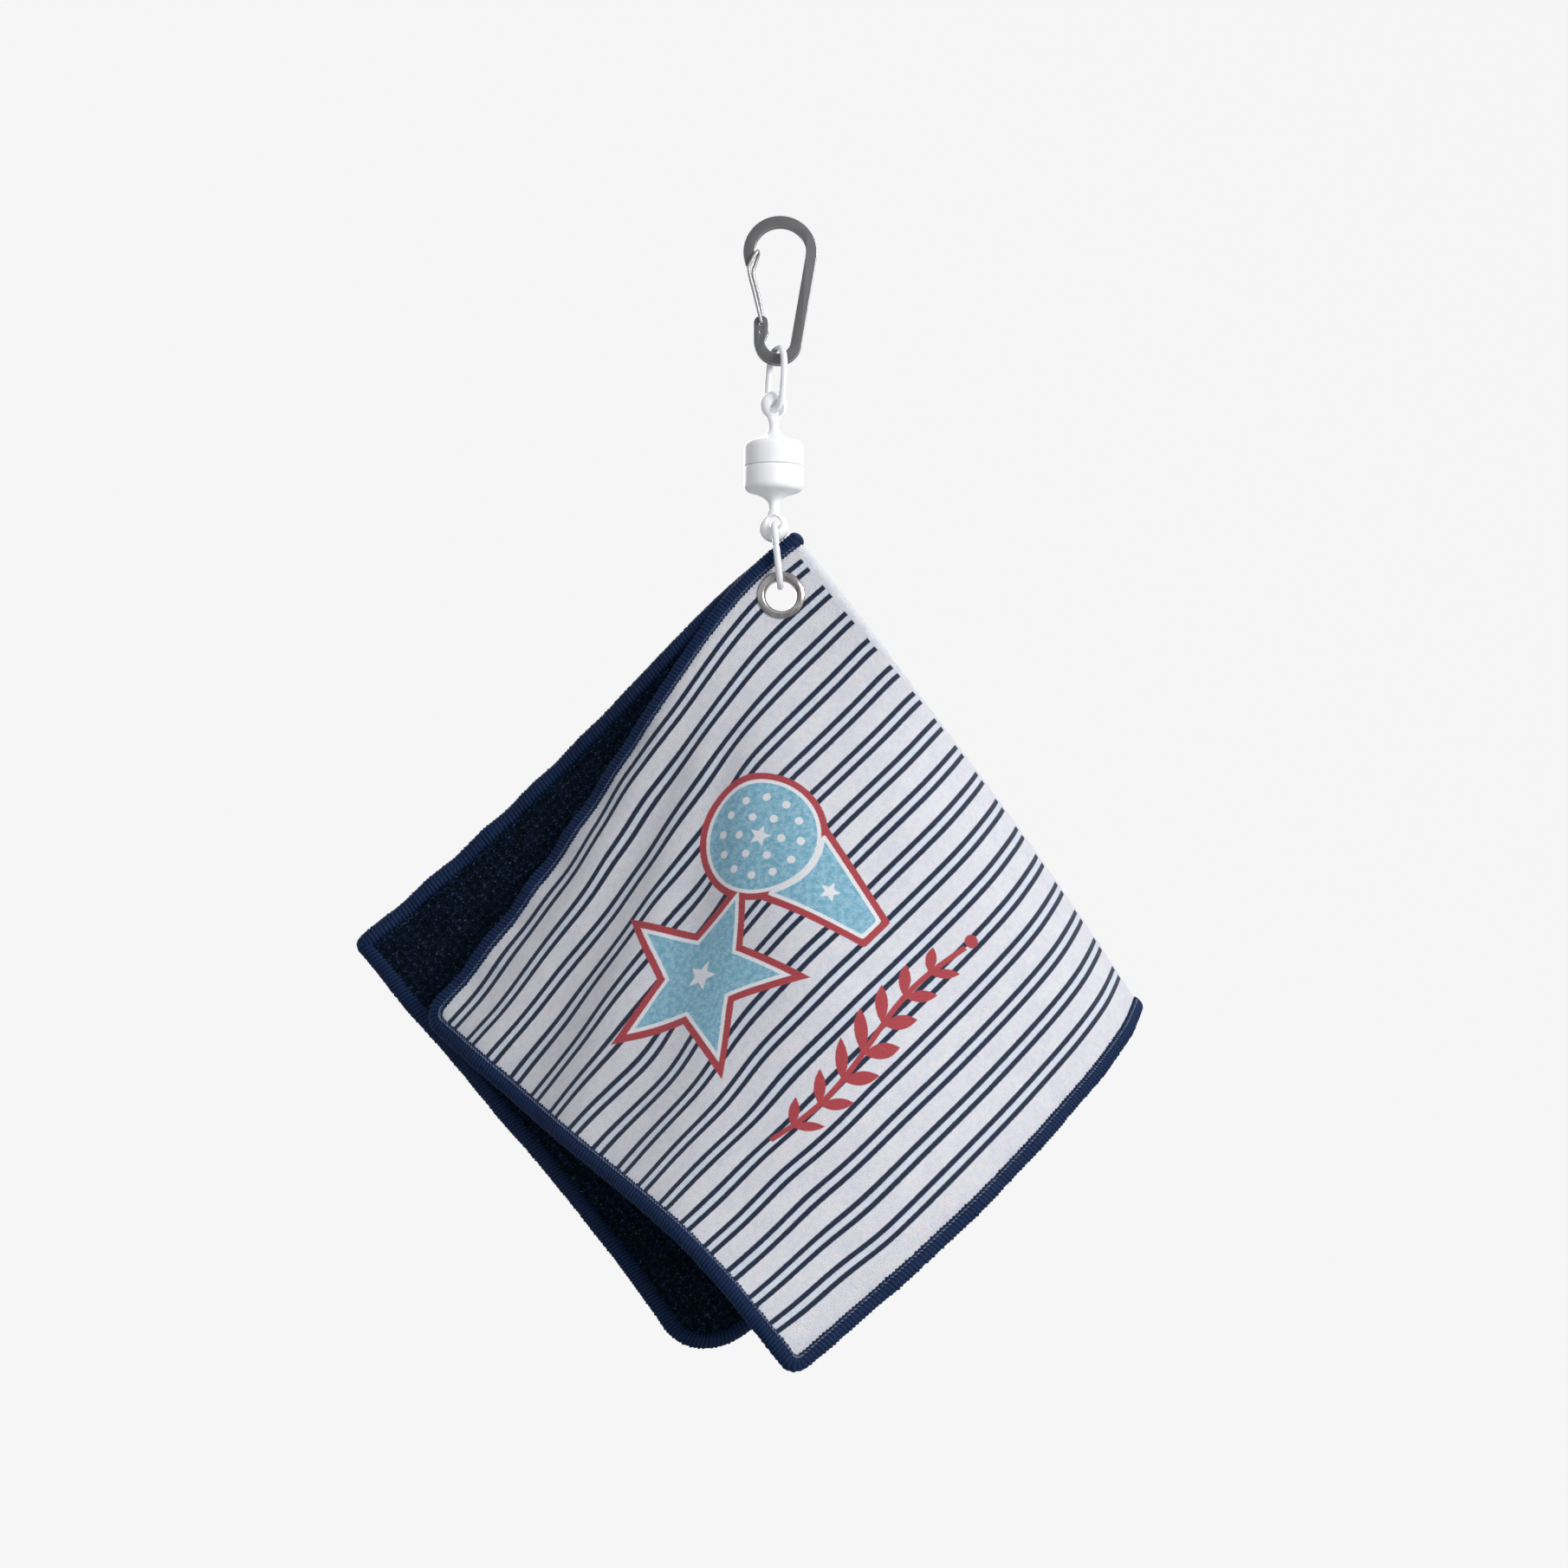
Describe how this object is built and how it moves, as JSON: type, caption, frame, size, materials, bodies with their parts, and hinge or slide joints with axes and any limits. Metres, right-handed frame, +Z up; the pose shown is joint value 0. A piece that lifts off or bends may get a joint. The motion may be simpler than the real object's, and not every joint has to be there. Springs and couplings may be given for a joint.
{
  "type": "clip-on golf towel",
  "caption": "Folded waffle-backed golf towel hung by a corner grommet from a magnetic coupling, oval links and a wire-gate carabiner.",
  "frame": {"origin": "top of the carabiner's inner bow, where the bag ring or hook carries the load", "axes": "+Z up along the hanging line, -Y toward the viewer of the printed front layer, +X toward the fold"},
  "size_m": [0.2601, 0.1066, 0.3853],
  "materials": {
    "anodised": "satin grey anodised",
    "steel": "bright drawn wire and plate",
    "coated": "satin white nylon coating over steel wire",
    "plastic": "smooth satin white",
    "magnet": "nickel plated magnet",
    "nickel": "rolled nickel plate",
    "print": "short printed velour pile",
    "waffle": "looped waffle knit",
    "thread": "close overlock stitching"
  },
  "bodies": {
    "carabiner": {"carabiner_body": "anodised"},
    "gate": {"gate_wire": "steel"},
    "upper_link": {"upper_link": "coated"},
    "upper_coupling": {"upper_coupling_housing": "plastic", "upper_magnet": "magnet", "upper_backing_plate": "steel"},
    "lower_coupling": {"lower_coupling_housing": "plastic", "lower_magnet": "magnet", "lower_backing_plate": "steel"},
    "lower_link": {"lower_link": "coated"},
    "towel_front": {"front_printed_ply": "print", "front_waffle_ply": "waffle", "rear_strip_printed_ply": "print", "rear_strip_waffle_ply": "waffle", "front_hem": "thread", "rear_strip_hem_top": "thread", "rear_strip_hem_bottom": "thread", "grommet_eyelet": "nickel", "grommet_washer": "nickel"},
    "towel_rear": {"rear_printed_ply": "print", "rear_waffle_ply": "waffle", "rear_hem": "thread"}
  },
  "joints": [
    {"name": "gate_hinge", "type": "hinge", "parent": "carabiner", "child": "gate", "pos_m": [-0.00638, 0, -0.0328], "axis": [0, 1, 0], "range_deg": [0, 28], "stiffness_Nm_per_rad": 0.02, "springref_deg": -14.32},
    {"name": "upper_link_swing", "type": "hinge", "parent": "carabiner", "child": "upper_link", "pos_m": [-0.00077, 0, -0.0451], "axis": [1, 0, 0], "range_deg": [-45, 45]},
    {"name": "coupling_swing", "type": "hinge", "parent": "upper_link", "child": "upper_coupling", "pos_m": [-0.0019, 0, -0.06215], "axis": [0.454, -0.891, 0], "range_deg": [-35, 35]},
    {"name": "magnet_release", "type": "slide", "parent": "upper_coupling", "child": "lower_coupling", "axis": [0, 0, -1], "range_m": [0, 0.03]},
    {"name": "lower_link_swing", "type": "hinge", "parent": "lower_coupling", "child": "lower_link", "pos_m": [-0.0021, 0, -0.1048], "axis": [1, 0, 0], "range_deg": [-20, 20]},
    {"name": "towel_swing", "type": "hinge", "parent": "lower_link", "child": "towel_front", "pos_m": [0, 0, -0.1221], "axis": [0, 1, 0], "range_deg": [-1, 40]},
    {"name": "rear_layer_open", "type": "hinge", "parent": "towel_front", "child": "towel_rear", "pos_m": [-0.00771, 0.00101, -0.13315], "axis": [0.6153, 0.112, -0.7803], "range_deg": [0, 25]}
  ]
}
